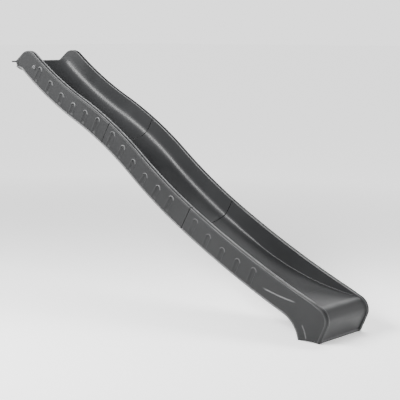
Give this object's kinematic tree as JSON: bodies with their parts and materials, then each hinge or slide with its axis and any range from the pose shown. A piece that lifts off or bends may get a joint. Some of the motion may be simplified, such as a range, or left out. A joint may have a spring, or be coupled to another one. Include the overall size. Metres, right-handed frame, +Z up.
{
  "type": "wave slide",
  "caption": "Wave slide for a raised play platform: three hollow dark grey mouldings plugged and bolted into one chute, with a screw-down top flange and a moulded foot.",
  "frame": {"origin": "middle of the flange's screw row, on the face that lies on the platform's deck", "axes": "+X down the slide, +Y across it, +Z up; the ground is 1.49 m below the origin"},
  "size_m": [2.6365, 0.433, 1.569],
  "materials": {
    "hdpe_anthracite": "moulded, satin, faint leather grain",
    "bolt_steel": "zinc plated",
    "insert_brass": "turned",
    "seal_rubber": "matt",
    "fitting_plastic": "moulded, satin"
  },
  "bodies": {
    "root": {"top_section": "hdpe_anthracite", "middle_section": "hdpe_anthracite", "bottom_section": "hdpe_anthracite", "hose_nipple": "fitting_plastic", "hose_seal": "seal_rubber", "hose_lock_nut": "fitting_plastic", "upper_joint_bolts": "bolt_steel", "upper_joint_washers": "bolt_steel", "upper_joint_inserts": "insert_brass", "lower_joint_bolts": "bolt_steel", "lower_joint_washers": "bolt_steel", "lower_joint_inserts": "insert_brass"}
  },
  "joints": []
}
